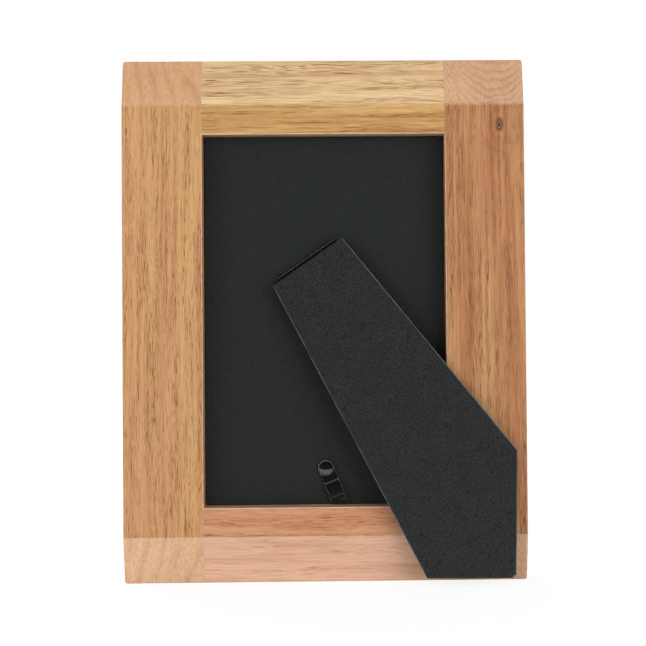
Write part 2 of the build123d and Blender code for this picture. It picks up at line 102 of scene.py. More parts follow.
def new_finish(name):
    """A material with its node tree and its shader."""
    material = bpy.data.materials.new(name)
    material.use_nodes = True
    tree = material.node_tree
    return material, tree, tree.nodes["Principled BSDF"]


def dress(material, *names):
    """Gives a finish to the frame's own pieces."""
    for name in names:
        for slot in nodes[name].material_slots:
            slot.material = material


UPRIGHT_GRAIN = (0, 0, 0)
LEVEL_GRAIN = (0, math.pi / 2, 0)

# Sizes across and along the grain, in mm, and how finely each pattern breaks up.
DRIFT = (22, 130)
DRIFT_REACH = 6.0
GRAIN = {"band": (9, 200, 1), "streak": (2.2, 80, 2), "fibre": (0.5, 16, 2)}

# How dark each part of a year's growth is, and how strongly this and the other marks show.
YEAR_SHADE = [(0, 1.0), (0.15, 0.7), (0.45, 0.0), (0.9, 0.25), (1, 1.0)]
LIGHT_BAND_SHARE = 0.3
# The slopes' paler tone is partly cut grain and partly painted sheen.
SLOPE_TONE_AND_SHEEN_SHARE = 0.6
FIBRE_SHARE = 0.8
PORE_SHARE = 0.85
PORE_SOFTNESS = 0.07
PORE_DEPTH = 0.1 * MM
OILED_ROUGHNESS = 0.5
PORE_ROUGHNESS = 0.8

# A knot's rings, out from its heart, and how far it pushes the grain aside.
KNOT_RINGS = [(0.25, "2c1a10"), (0.45, "a97a4e"), (0.62, "5a3820"), (1, "8a5a38")]
KNOT_SPREAD = 5.0
KNOT_PUSH = 2.5
KNOT_SHARE = 0.9

# The back fills the rebate but for a little room all round.
BOARD_ROOM = 0.5 * MM
ARRIS_ROOM = 0.5 * MM
# Painted highlight: the pale tone on the rebate's rounded edge, broken up by chips.
ARRIS_HIGHLIGHT_TONE = "efd2ae"
CHIP = 2.5 * MM
# Painted shade: a darker grey-brown mixed onto the rebate's walls.
WALL_SHADE_TONE = "94857a"
WALL_SHADE_SHARE = 0.3
board_low, board_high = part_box("backing_board")
rebate_middle = (board_low + board_high) / 2
rebate_reach = (board_high - board_low) / 2 + Vector((1, 0, 1)) * (BOARD_ROOM + ARRIS_ROOM)


def oiled_hardwood(
    name,
    light,
    warm,
    dark,
    pore,
    top_slope_with_sheen,
    bottom_slope_with_sheen,
    turn,
    pith,
    ring_width,
    ring_share,
    pore_size,
    pore_level,
    cut_share,
    knot=None,
):
    """Oiled hardwood: it shows colour bands and growth rings along the grain, fine fibres, dark open pores,
    and paler wood on the slopes, partly wood cut across the grain and partly a painted sheen, with separate
    tones for up- and down-facing slopes as painted light. Pores are drawn a little wider than they are, to
    show."""
    material, tree, shader = new_finish(name)
    place = add(tree, "TexCoord", {})
    spot, facing = place.outputs["Object"], place.outputs["Normal"]
    board = add(tree, "Mapping", {"Vector": spot, "Location": pith, "Rotation": turn, "Scale": (1 / MM,) * 3})
    drift_across, drift_along = DRIFT
    slow = add(
        tree,
        "VectorMath",
        {0: board, 1: (1 / drift_across, 1 / drift_across, 1 / drift_along)},
        operation="MULTIPLY",
    )
    drift = add(tree, "TexNoise", {"Vector": slow, "Scale": 1, "Detail": 2})
    centred = add(tree, "VectorMath", {0: drift.outputs["Color"], 1: (0.5, 0.5, 0.5)}, operation="SUBTRACT")
    push = add(tree, "VectorMath", {0: centred, 1: (DRIFT_REACH, DRIFT_REACH, 0)}, operation="MULTIPLY")
    wandering = add(tree, "VectorMath", {0: board, 1: push}, operation="ADD")

    grain = {}
    for pattern, (across, along, detail) in {**GRAIN, "pore": (*pore_size, 1)}.items():
        drawn_out = add(
            tree, "VectorMath", {0: wandering, 1: (1 / across, 1 / across, 1 / along)}, operation="MULTIPLY"
        )
        grain[pattern] = add(tree, "TexNoise", {"Vector": drawn_out, "Scale": 1, "Detail": detail})

    outward = add(tree, "VectorMath", {0: wandering, 1: (1, 1, 0)}, operation="MULTIPLY")
    radius = add(tree, "VectorMath", {0: outward}, operation="LENGTH")
    if knot:
        middle, half_width, half_height = knot
        beside = add(tree, "VectorMath", {0: spot, 1: middle}, operation="SUBTRACT")
        oval = add(
            tree, "VectorMath", {0: beside, 1: (1 / half_width, 0, 1 / half_height)}, operation="MULTIPLY"
        )
        from_knot = add(tree, "VectorMath", {0: oval}, operation="LENGTH")
        swell = add(
            tree,
            "MapRange",
            {"Value": from_knot, "From Max": KNOT_SPREAD, "To Min": KNOT_PUSH, "To Max": 0.0},
        )
        radius = add(tree, "Math", {0: radius, 1: swell}, operation="ADD")
    years = add(tree, "Math", {0: radius, 1: ring_width}, operation="DIVIDE")
    year = add(tree, "Math", {0: years}, operation="FRACT")
    spring = add(tree, "ValToRGB", {0: year}, YEAR_SHADE)

    sides = add(tree, "SeparateXYZ", {0: facing})
    lean = add(tree, "Math", {0: sides.outputs["Z"]}, operation="ABSOLUTE")
    sloping = add(tree, "MapRange", {"Value": lean, "From Min": 0.08, "From Max": 0.22})
    upward = add(tree, "MapRange", {"Value": sides.outputs["Z"], "From Min": -0.1, "From Max": 0.1})

    banded = add(tree, "MapRange", {"Value": grain["band"], "From Min": 0.35, "From Max": 0.65})
    wood = add(tree, "Mix", {"Factor": banded, "A": light, "B": warm}, data_type="RGBA")
    streaked = add(
        tree, "MapRange", {"Value": grain["streak"], "From Min": 0.45, "From Max": 0.75, "To Max": 0.5}
    )
    wood = add(tree, "Mix", {"Factor": streaked, "A": wood, "B": dark}, data_type="RGBA")
    # Painted sheen and light: the slopes get a paler tone, partly cut grain, with their own tones for up- and
    # down-facing slopes.
    slope_and_sheen = add(tree, "Mix", {"Factor": upward, "A": bottom_slope_with_sheen, "B": top_slope_with_sheen}, data_type="RGBA")
    slope_sheen_share = add(tree, "Math", {0: sloping, 1: SLOPE_TONE_AND_SHEEN_SHARE}, operation="MULTIPLY")
    wood = add(tree, "Mix", {"Factor": slope_sheen_share, "A": wood, "B": slope_and_sheen}, data_type="RGBA")
    faint_share = LIGHT_BAND_SHARE * ring_share
    ring_depth = add(tree, "MapRange", {"Value": banded, "To Min": faint_share, "To Max": ring_share})
    ringed = add(tree, "Math", {0: spring, 1: ring_depth}, operation="MULTIPLY")
    wood = add(tree, "Mix", {"Factor": ringed, "A": wood, "B": dark}, data_type="RGBA")
    fibres = add(tree, "ValToRGB", {0: grain["fibre"]}, [(0.35, 0.8), (0.6, 1.0)])
    wood = add(
        tree, "Mix", {"Factor": FIBRE_SHARE, "A": wood, "B": fibres}, data_type="RGBA", blend_type="MULTIPLY"
    )
    pore_full = pore_level + PORE_SOFTNESS
    opened = add(tree, "MapRange", {"Value": grain["pore"], "From Min": pore_level, "From Max": pore_full})
    gathered = add(
        tree, "MapRange", {"Value": grain["streak"], "From Min": 0.42, "From Max": 0.58, "To Min": 0.3}
    )
    pores = add(tree, "Math", {0: opened, 1: gathered}, operation="MULTIPLY")
    pore_depth = add(tree, "MapRange", {"Value": sloping, "To Min": PORE_SHARE, "To Max": cut_share})
    pore_share = add(tree, "Math", {0: pores, 1: pore_depth}, operation="MULTIPLY")
    wood = add(tree, "Mix", {"Factor": pore_share, "A": wood, "B": pore}, data_type="RGBA")
    if knot:
        heart = add(tree, "ValToRGB", {0: from_knot}, KNOT_RINGS)
        heart_share = add(
            tree, "MapRange", {"Value": from_knot, "From Min": 1.3, "From Max": 0.8, "To Max": KNOT_SHARE}
        )
        wood = add(tree, "Mix", {"Factor": heart_share, "A": wood, "B": heart}, data_type="RGBA")

    # Inside the rebate the walls are mixed toward a darker grey-brown, painted shade in the recess, and the
    # rounded edge round it is painted pale, a painted highlight where it catches the light.
    inward = add(tree, "VectorMath", {0: spot, 1: rebate_middle}, operation="SUBTRACT")
    apart = add(tree, "VectorMath", {0: inward}, operation="ABSOLUTE")
    measured = add(
        tree, "VectorMath", {0: apart, 1: (1 / rebate_reach.x, 0, 1 / rebate_reach.z)}, operation="MULTIPLY"
    )
    spread = add(tree, "SeparateXYZ", {0: measured})
    farthest = add(tree, "Math", {0: spread.outputs["X"], 1: spread.outputs["Z"]}, operation="MAXIMUM")
    inside = add(tree, "Math", {0: farthest, 1: 1.0}, operation="LESS_THAN")
    edgewise = add(tree, "Math", {0: sides.outputs["Y"]}, operation="ABSOLUTE")
    walls = add(tree, "MapRange", {"Value": edgewise, "From Min": 0.3, "From Max": 0.1, "To Max": WALL_SHADE_SHARE})
    wall_shade_share = add(tree, "Math", {0: walls, 1: inside}, operation="MULTIPLY")
    wood = add(tree, "Mix", {"Factor": wall_shade_share, "A": wood, "B": WALL_SHADE_TONE}, data_type="RGBA")
    # Painted highlight along the rebate's rounded edge, where it leans to the light.
    arris_highlight = add(
        tree, "ValToRGB", {0: sides.outputs["Y"]}, [(0.1, 0.0), (0.3, 1.0), (0.9, 1.0), (0.985, 0.0)]
    )
    chips = add(tree, "TexNoise", {"Vector": spot, "Scale": 1 / CHIP, "Detail": 3})
    whole = add(tree, "MapRange", {"Value": chips, "From Min": 0.35, "From Max": 0.55, "To Min": 0.3})
    unchipped = add(tree, "Math", {0: inside, 1: whole}, operation="MULTIPLY")
    arris_highlight_share = add(tree, "Math", {0: arris_highlight, 1: unchipped}, operation="MULTIPLY")
    wood = add(tree, "Mix", {"Factor": arris_highlight_share, "A": wood, "B": ARRIS_HIGHLIGHT_TONE}, data_type="RGBA")

    height = add(tree, "Math", {0: fibres, 1: pores}, operation="SUBTRACT")
    relief = add(tree, "Bump", {"Strength": 0.2, "Distance": PORE_DEPTH, "Height": height})
    sheen = add(tree, "MapRange", {"Value": pores, "To Min": OILED_ROUGHNESS, "To Max": PORE_ROUGHNESS})
    wire(tree, shader, {"Base Color": wood, "Roughness": sheen, "Normal": relief})
    return material


KNOT_PLACE = Vector((-74.5, 0, 192.6)) * MM
KNOT_HALF_WIDTH = 1.6 * MM
KNOT_HALF_HEIGHT = 2.9 * MM

dress(
    oiled_hardwood(
        "oiled_hardwood_left",
        light="daa86f",
        warm="d8a171",
        dark="b47c4c",
        pore="7e4814",
        top_slope_with_sheen="e6b48c",
        bottom_slope_with_sheen="f4d0ae",
        turn=UPRIGHT_GRAIN,
        pith=(-30, 36, 0),
        ring_width=4.6,
        ring_share=0.35,
        pore_size=(0.22, 5.5),
        pore_level=0.555,
        cut_share=0.2,
    ),
    "left_stile",
)
dress(
    oiled_hardwood(
        "oiled_hardwood_right",
        light="d29e6c",
        warm="c28458",
        dark="905834",
        pore="7c4a26",
        top_slope_with_sheen="e8be9c",
        bottom_slope_with_sheen="eec8a8",
        turn=UPRIGHT_GRAIN,
        pith=(72, 25, 90),
        ring_width=0.9,
        ring_share=0.35,
        pore_size=(0.22, 6.5),
        pore_level=0.54,
        cut_share=0.15,
        knot=(KNOT_PLACE, KNOT_HALF_WIDTH, KNOT_HALF_HEIGHT),
    ),
    "right_stile",
)
dress(
    oiled_hardwood(
        "oiled_hardwood_top",
        light="dcae6e",
        warm="d49e62",
        dark="986632",
        pore="8a4c10",
        top_slope_with_sheen="ffe2b4",
        bottom_slope_with_sheen="ffe2b4",
        turn=LEVEL_GRAIN,
        pith=(-110, 30, 40),
        ring_width=5.0,
        ring_share=0.4,
        pore_size=(0.17, 11),
        pore_level=0.52,
        cut_share=0.85,
    ),
    "top_rail",
)
dress(
    oiled_hardwood(
        "oiled_hardwood_bottom",
        light="dca67c",
        warm="d2926a",
        dark="b86c4a",
        pore="964a24",
        top_slope_with_sheen="fcd4ba",
        bottom_slope_with_sheen="fcd4ba",
        turn=LEVEL_GRAIN,
        pith=(-26, 45, -60),
        ring_width=1.4,
        ring_share=0.3,
        pore_size=(0.2, 7),
        pore_level=0.55,
        cut_share=0.4,
    ),
    "bottom_rail",
)


# Dowels: turned beech pegs, glued across the corner joints and hidden in them.
# Beech is even and pale, with short fine pores.
dress(
    oiled_hardwood(
        "turned_beech",
        light="dbbb8e",
        warm="d4af80",
        dark="b98f62",
        pore="a9835a",
        top_slope_with_sheen="dbbb8e",
        bottom_slope_with_sheen="dbbb8e",
        turn=LEVEL_GRAIN,
        pith=(-60, 30, 0),
        ring_width=3.0,
        ring_share=0.3,
        pore_size=(0.4, 2),
        pore_level=0.62,
        cut_share=0.5,
    ),
    "corner_dowels",
)


# Glass pane: 2 mm float glass, cut and laid in the rebate behind the wooden lip. It is clear, with a faint
# green in its depth and a trace of smears from handling, and lamps shine through it on the print.
GLASS_TINT = "fcfefd"
GLASS_IOR = 1.52
SMEAR = 25 * MM

float_glass, tree, shader = new_finish("float_glass")
place = add(tree, "TexCoord", {})
smears = add(tree, "TexNoise", {"Vector": place.outputs["Object"], "Scale": 1 / SMEAR, "Detail": 4})
haze = add(tree, "MapRange", {"Value": smears, "From Min": 0.45, "From Max": 0.8, "To Max": 0.05})
wire(
    tree, shader, {"Base Color": GLASS_TINT, "Roughness": haze, "IOR": GLASS_IOR, "Transmission Weight": 1.0}
)
rays = add(tree, "LightPath", {})
lamp_light = add(tree, "BsdfTransparent", {"Color": GLASS_TINT})
pane = add(tree, "MixShader", {0: rays.outputs["Is Shadow Ray"], 1: shader.outputs[0], 2: lamp_light})
wire(tree, tree.nodes["Material Output"], {"Surface": pane})
dress(float_glass, "glass_pane")


# Flat layers: a blank satin print, a filler card, the hardboard back and the leg's millboard core, laid in
# loose or glued. All are pressed from pulp, so they show short fibres, a soft mottle and a matt tooth.
MOTTLE_FIBRES = 30
TOOTH_DEPTH = 0.05 * MM
SHEEN_SPREAD = 0.08


def pressed_pulp(name, ground, fleck, fibre, fleck_share, roughness, gloss, tooth):
    """Pulp pressed into a sheet: darker fibres fleck its ground colour, a broad mottle clouds it, and the
    fibres stand up in a fine tooth that dulls it."""
    material, tree, shader = new_finish(name)
    spot = add(tree, "TexCoord", {}).outputs["Object"]
    fibres, clouds = (
        add(tree, "TexNoise", {"Vector": spot, "Scale": 1 / size, "Detail": 3, "Roughness": 0.6})
        for size in (fibre, MOTTLE_FIBRES * fibre)
    )
    flecked = add(tree, "MapRange", {"Value": fibres, "From Min": 0.45, "From Max": 0.75})
    mottled = add(tree, "MapRange", {"Value": clouds, "From Min": 0.3, "From Max": 0.7})
    both = add(tree, "Math", {0: flecked, 1: mottled}, operation="ADD")
    share = add(tree, "Math", {0: both, 1: fleck_share / 2}, operation="MULTIPLY")
    colour = add(tree, "Mix", {"Factor": share, "A": ground, "B": fleck}, data_type="RGBA")
    dull, shiny = roughness + SHEEN_SPREAD, roughness - SHEEN_SPREAD
    rough = add(tree, "MapRange", {"Value": fibres, "To Min": shiny, "To Max": dull})
    relief = add(tree, "Bump", {"Strength": tooth, "Distance": TOOTH_DEPTH, "Height": fibres})
    wire(
        tree,
        shader,
        {"Base Color": colour, "Roughness": rough, "Specular IOR Level": gloss, "Normal": relief},
    )
    return material


dress(
    pressed_pulp(
        "satin_print_paper",
        ground="f6f5f1",
        fleck="eae9e3",
        fibre=0.4 * MM,
        fleck_share=0.5,
        roughness=0.5,
        gloss=0.5,
        tooth=0.1,
    ),
    "photo_insert",
)
dress(
    pressed_pulp(
        "filler_card",
        ground="b09c7e",
        fleck="8f7c60",
        fibre=0.5 * MM,
        fleck_share=0.6,
        roughness=0.85,
        gloss=0.3,
        tooth=0.4,
    ),
    "filler_card",
)
dress(
    pressed_pulp(
        "hardboard",
        ground="6e4f36",
        fleck="4a3322",
        fibre=0.5 * MM,
        fleck_share=0.8,
        roughness=0.8,
        gloss=0.3,
        tooth=0.5,
    ),
    "backing_board",
)
dress(
    pressed_pulp(
        "grey_millboard",
        ground="84827d",
        fleck="5f5d58",
        fibre=0.6 * MM,
        fleck_share=0.7,
        roughness=0.9,
        gloss=0.2,
        tooth=0.5,
    ),
    "leg_core",
)


# Black papers: the back and the leg's lining have a matt paper, and the leg's cover is embossed with a
# leather grain and glued round its core. The pebbles are painted greyer, partly a painted highlight where
# they catch the light, and the leg's folds are painted grey, partly wear and partly a painted highlight.
PEBBLE = 0.65 * MM
PEBBLE_WARP = 2.5 * PEBBLE
PEBBLE_HEIGHT = PEBBLE / 10
MOTTLE = 9 * MM
# Grey for the leg's folded edges: partly wear, partly painted highlight.
FOLD_WEAR_AND_HIGHLIGHT_TONE = "7c7e7b"
CORNER_TONE = "9a9a96"
CORNER_WEAR = 2.2 * MM
CORNER_SHARE = 0.9
FOOT_TAPER = 1.3 * MM

leg_across = next(joint["axis"] for joint in frame["joints"] if joint["name"] == "leg_fold")
leg_low, leg_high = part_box("leg_cover")


def leather_paper(name, valley, hill_with_highlight, gloss, depth, worn_corner=None):
    """Black paper with a pebbled grain: the hills are smoother than the valleys and painted greyer, partly
    their own tone and partly a painted highlight, in soft patches. On the leg its folds are painted grey,
    partly wear and partly a painted highlight, and one corner of the foot is worn pale."""
    material, tree, shader = new_finish(name)
    place = add(tree, "TexCoord", {})
    spot = place.outputs["Object"]
    warp = add(tree, "TexNoise", {"Vector": spot, "Scale": 1 / PEBBLE_WARP, "Detail": 2})
    nudge = add(tree, "VectorMath", {0: warp.outputs["Color"], 1: (PEBBLE,) * 3}, operation="MULTIPLY")
    wandering = add(tree, "VectorMath", {0: spot, 1: nudge}, operation="ADD")
    cells = add(tree, "TexVoronoi", {"Vector": wandering, "Scale": 1 / PEBBLE})
    pebbles = add(tree, "MapRange", {"Value": cells, "From Max": 0.75, "To Min": 1.0, "To Max": 0.0})
    mottle = add(tree, "TexNoise", {"Vector": spot, "Scale": 1 / MOTTLE, "Detail": 5})
    patches = add(tree, "MapRange", {"Value": mottle, "To Min": 0.3, "To Max": 0.7})
    shade = add(tree, "Math", {0: pebbles, 1: patches}, operation="MULTIPLY")
    # The hill tone is greyer than the valley tone: partly the grain's own colour, partly a painted highlight
    # on the pebbles.
    colour = add(tree, "Mix", {"Factor": shade, "A": valley, "B": hill_with_highlight}, data_type="RGBA")
    if worn_corner:
        turned = add(tree, "VectorMath", {0: place.outputs["Normal"], 1: leg_across}, operation="DOT_PRODUCT")
        sideways = add(tree, "Math", {0: turned.outputs["Value"]}, operation="ABSOLUTE")
        # Painted grey along the folded edges: partly wear, partly a painted highlight where the edges catch
        # the light.
        fold = add(tree, "ValToRGB", {0: sideways}, [(0.1, 0.0), (0.35, 0.7), (0.75, 0.7), (0.95, 0.1)])
        scuffed = add(tree, "MapRange", {"Value": mottle, "From Min": 0.35, "From Max": 0.65, "To Min": 0.3})
        fold_share = add(tree, "Math", {0: fold, 1: scuffed}, operation="MULTIPLY")
        colour = add(tree, "Mix", {"Factor": fold_share, "A": colour, "B": FOLD_WEAR_AND_HIGHLIGHT_TONE}, data_type="RGBA")
        apart = add(tree, "VectorMath", {0: spot, 1: worn_corner}, operation="DISTANCE")
        paled = add(
            tree,
            "MapRange",
            {
                "Value": apart.outputs["Value"],
                "From Min": CORNER_WEAR,
                "From Max": CORNER_WEAR / 2,
                "To Max": CORNER_SHARE,
            },
        )
        colour = add(tree, "Mix", {"Factor": paled, "A": colour, "B": CORNER_TONE}, data_type="RGBA")
    rough = add(tree, "MapRange", {"Value": pebbles, "To Min": 0.8, "To Max": 0.6})
    relief = add(tree, "Bump", {"Strength": depth, "Distance": PEBBLE_HEIGHT, "Height": pebbles})
    wire(
        tree,
        shader,
        {"Base Color": colour, "Roughness": rough, "Specular IOR Level": gloss, "Normal": relief},
    )
    return material


dress(
    leather_paper("matt_black_paper", valley="242827", hill_with_highlight="353938", gloss=0.2, depth=0.25),
    "backing_paper",
    "leg_lining",
)
dress(
    leather_paper(
        "leather_grained_paper",
        valley="1f2322",
        hill_with_highlight="474a48",
        gloss=0.3,
        depth=0.5,
        worn_corner=(leg_low.x + FOOT_TAPER, leg_high.y, leg_low.z),
    ),
    "leg_cover",
)


# Steel fittings: the tabs, their rivets and the hinge pin are zinc-plated, bright with a fine spangle. The
# hinge's leaves and rivets and the clip's washer are stamped steel in glossy black lacquer.
SPANGLE = 0.8 * MM
GRIME = 0.7 * MM
GRIME_DEPTH = 0.03 * MM
# Pale grey for painted edge highlights, partly also worn steel.
EDGE_WEAR_AND_HIGHLIGHT_TONE = "d4d5d7"
EDGE_WEAR_AND_HIGHLIGHT_SHARE = 0.9
LACQUER_SPECULAR = 0.8
COAT_ROUGHNESS = 0.12

bright_steel, tree, shader = new_finish("zinc_plated_steel")
place = add(tree, "TexCoord", {})
spangle = add(tree, "TexNoise", {"Vector": place.outputs["Object"], "Scale": 1 / SPANGLE, "Detail": 4})
colour = add(tree, "Mix", {"Factor": spangle, "A": "a9aaad", "B": "cfd0d2"}, data_type="RGBA")
rough = add(tree, "MapRange", {"Value": spangle, "To Min": 0.22, "To Max": 0.42})
wire(tree, shader, {"Base Color": colour, "Metallic": 1.0, "Roughness": rough})


def lacquered_steel(name, edge_wear_and_highlight=None, gloss=1.0):
    """Black lacquer: a glossy coat, a little dulled by grime. Where the surface's lean to an axis goes from
    one value to another it is painted pale grey: a painted highlight on edges, on the clip partly also
    lacquer worn through to grey steel."""
    material, tree, shader = new_finish(name)
    place = add(tree, "TexCoord", {})
    grime = add(tree, "TexNoise", {"Vector": place.outputs["Object"], "Scale": 1 / GRIME, "Detail": 5})
    colour = add(tree, "Mix", {"Factor": grime, "A": "0c0c0e", "B": "1c1c1e"}, data_type="RGBA")
    if edge_wear_and_highlight:
        axis, black, pale_lean = edge_wear_and_highlight
        turned = add(tree, "VectorMath", {0: place.outputs["Normal"], 1: axis}, operation="DOT_PRODUCT")
        sideways = add(tree, "Math", {0: turned.outputs["Value"]}, operation="ABSOLUTE")
        # Painted pale grey where the surface leans: a painted highlight, on the clip's edges partly also
        # wear.
        paled = add(
            tree, "MapRange", {"Value": sideways, "From Min": black, "From Max": pale_lean, "To Max": EDGE_WEAR_AND_HIGHLIGHT_SHARE}
        )
        colour = add(tree, "Mix", {"Factor": paled, "A": colour, "B": EDGE_WEAR_AND_HIGHLIGHT_TONE}, data_type="RGBA")
    rough = add(tree, "MapRange", {"Value": grime, "To Min": 0.15, "To Max": 0.35})
    relief = add(tree, "Bump", {"Strength": 0.1, "Distance": GRIME_DEPTH, "Height": grime})
    wire(
        tree,
        shader,
        {
            "Base Color": colour,
            "Roughness": rough,
            "Normal": relief,
            "Specular IOR Level": LACQUER_SPECULAR * gloss,
            "Coat Weight": gloss,
            "Coat Roughness": COAT_ROUGHNESS,
        },
    )
    return material


black_steel = lacquered_steel("black_lacquered_steel")
dress(bright_steel, "top_tabs", "tab_rivets", "hinge_pin")
dress(black_steel, "hinge_board_leaf", "hinge_leg_leaf", "hinge_board_rivets", "hinge_leg_rivets")
dress(black_steel, "clip_washer")


# Turn clip: a strip of black lacquered steel, stamped with a round eye for its rivet, bent up into a raised
# grip, and cut on a slant so that its tip lies along the rail. Stamping rounded its edges, which are painted
# pale grey, partly lacquer worn through by hands and partly a painted highlight, and the lacquer on it is
# duller than the rivet's.
CLIP_SLANT = math.radians(22.4)
CLIP_GAUGE = 0.7 * MM
CLIP_HOLE = 1.58 * MM
EYE_STEPS = 48
EYE_END = 3.6 * MM
GRIP_START = 6.0 * MM
GRIP_LENGTH = 6.0 * MM
GRIP_RAMP = 0.9 * MM
TIP_SPARE = 6.0 * MM
BEND_ROUND = 0.35 * MM
BEND_STEPS = 4
EDGE_ROUND = 0.3 * MM
EDGE_STEPS = 3
EDGE_ANGLE = math.radians(50)
STRIP_SMOOTHING = math.radians(40)
# Lean range for the clip's pale edges, partly wear and partly painted highlight.
STRIP_WEAR_AND_HIGHLIGHT = (0.05, 0.3)
STRIP_GLOSS = 0.55
NEAR = 0.01 * MM

rivet_low, rivet_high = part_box("clip_rivet")
clip_low, clip_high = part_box("turn_clip")
paper_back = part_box("backing_paper")[1].y
rivet_middle = (rivet_low + rivet_high) / 2
rivet_seat = Vector((rivet_middle.x, paper_back, rivet_middle.z))
clip_half = clip_high.x - rivet_seat.x
clip_lift = clip_high.y - clip_low.y - CLIP_GAUGE
clip_level = clip_low.y - paper_back + CLIP_GAUGE / 2
tip_drop = rivet_seat.z - clip_low.z
clip_along = Vector((-math.sin(CLIP_SLANT), 0, -math.cos(CLIP_SLANT)))
clip_out = Vector((0, 1, 0))
clip_across = clip_out.cross(clip_along)
clip_place = Matrix((clip_along, clip_across, clip_out)).transposed().to_4x4()
clip_place.translation = rivet_seat


def pick_edges(piece, wanted):
    """Selects, in edit mode, the edges of a piece whose two ends pass a test."""
    bpy.ops.mesh.select_mode(type="EDGE")
    bpy.ops.mesh.select_all(action="DESELECT")
    for edge in bmesh.from_edit_mesh(piece.data).edges:
        edge.select_set(wanted([end.co for end in edge.verts]))
    bmesh.update_edit_mesh(piece.data)


def harden(piece, **modifiers):
    """Adds modifiers with their settings, one after the other, and applies each."""
    for kind, settings in modifiers.items():
        modifier = piece.modifiers.new(kind, kind)
        for name, value in settings.items():
            setattr(modifier, name, value)
        bpy.ops.object.modifier_apply(modifier=modifier.name)


def settle(piece, place):
    """Puts a finished piece in its place on the frame, with that place in its mesh."""
    bpy.ops.object.select_all(action="DESELECT")
    piece.select_set(True)
    piece.matrix_world = place
    bpy.ops.object.transform_apply(location=True, rotation=True, scale=True)


bpy.ops.object.select_all(action="DESELECT")
bpy.ops.mesh.primitive_circle_add(vertices=EYE_STEPS, radius=CLIP_HOLE)
clip = bpy.context.object
clip.name = "turn_clip_strip"
bpy.ops.object.mode_set(mode="EDIT")
pick_edges(clip, lambda ends: True)
bpy.ops.mesh.extrude_region_move()
bpy.ops.transform.resize(value=(clip_half / CLIP_HOLE, clip_half / CLIP_HOLE, 1), center_override=(0, 0, 0))
pick_edges(clip, lambda ends: all(end.length > clip_half - NEAR and end.x > -NEAR for end in ends))
bpy.ops.mesh.extrude_region_move(TRANSFORM_OT_translate={"value": (clip_half, 0, 0)})
bpy.ops.transform.resize(value=(0, 1, 1), center_override=(EYE_END, 0, 0))
for run, rise in (
    (GRIP_START - EYE_END, 0),
    (GRIP_RAMP, clip_lift),
    (GRIP_LENGTH, 0),
    (GRIP_RAMP, -clip_lift),
    (TIP_SPARE, 0),
):
    bpy.ops.mesh.extrude_region_move(TRANSFORM_OT_translate={"value": (run, 0, rise)})
bpy.ops.mesh.select_all(action="SELECT")
bpy.ops.mesh.bisect(
    plane_co=(tip_drop / math.cos(CLIP_SLANT), 0, 0),
    plane_no=(math.cos(CLIP_SLANT), -math.sin(CLIP_SLANT), 0),
    clear_outer=True,
)
grip_end = GRIP_START + 2 * GRIP_RAMP + GRIP_LENGTH
bends = (GRIP_START, GRIP_START + GRIP_RAMP, grip_end - GRIP_RAMP, grip_end)
pick_edges(clip, lambda ends: any(all(abs(end.x - bend) < NEAR for end in ends) for bend in bends))
bpy.ops.mesh.bevel(offset=BEND_ROUND, segments=BEND_STEPS, affect="EDGES")
bpy.ops.mesh.select_all(action="SELECT")
bpy.ops.mesh.normals_make_consistent(inside=False)
bpy.ops.transform.translate(value=(0, 0, clip_level))
bpy.ops.object.mode_set(mode="OBJECT")
harden(
    clip,
    SOLIDIFY={"thickness": CLIP_GAUGE, "offset": 0.0},
    BEVEL={"width": EDGE_ROUND, "segments": EDGE_STEPS, "limit_method": "ANGLE", "angle_limit": EDGE_ANGLE},
)
bpy.ops.object.shade_smooth_by_angle(angle=STRIP_SMOOTHING)
clip.data.materials.append(lacquered_steel("worn_and_highlit_black_steel", (clip_across, *STRIP_WEAR_AND_HIGHLIGHT), STRIP_GLOSS))
settle(clip, clip_place)
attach(clip, "clip")
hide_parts("turn_clip")


# Clip rivet: a turned steel rivet, set through the board, that the clip turns under. Its head has a low rim,
# a groove and a smooth dome, and is lacquered black, with a painted highlight in pale grey round the rim.
RIVET_STEPS = 64
RIVET_PLAY = 0.1 * MM
RIVET_SMOOTHING = math.radians(50)
# Lean range for the painted highlight on the rivet's rim.
RIM_HIGHLIGHT = (0.85, 0.5)
SHANK = 1.5 * MM
RIM_ROUND = 0.3 * MM
RIM_STEPS = 6
DOME_EDGE = 0.4 * MM
GROOVE_DEPTH = 0.04 * MM
DOME_STEPS = 9

head = (rivet_high.x - rivet_low.x) / 2
shank_end = rivet_low.y - paper_back
dome_top = rivet_high.y - paper_back
seat = clip_level + CLIP_GAUGE / 2 + RIVET_PLAY
dome_base, dome_level = head - DOME_EDGE, seat + RIM_ROUND - GROOVE_DEPTH
profile = [(SHANK, shank_end), (SHANK, seat)]
for step in range(RIM_STEPS + 1):
    swing = step / RIM_STEPS * math.pi / 2
    profile.append((head - RIM_ROUND * (1 - math.cos(swing)), seat + RIM_ROUND * math.sin(swing)))
dome_rise = dome_top - dome_level
dome_lean = 2 * math.atan2(dome_rise, dome_base)
dome_ball = dome_base / math.sin(dome_lean)
for step in range(DOME_STEPS):
    swing = dome_lean * (1 - step / DOME_STEPS)
    profile.append((dome_ball * math.sin(swing), dome_top - dome_ball * (1 - math.cos(swing))))

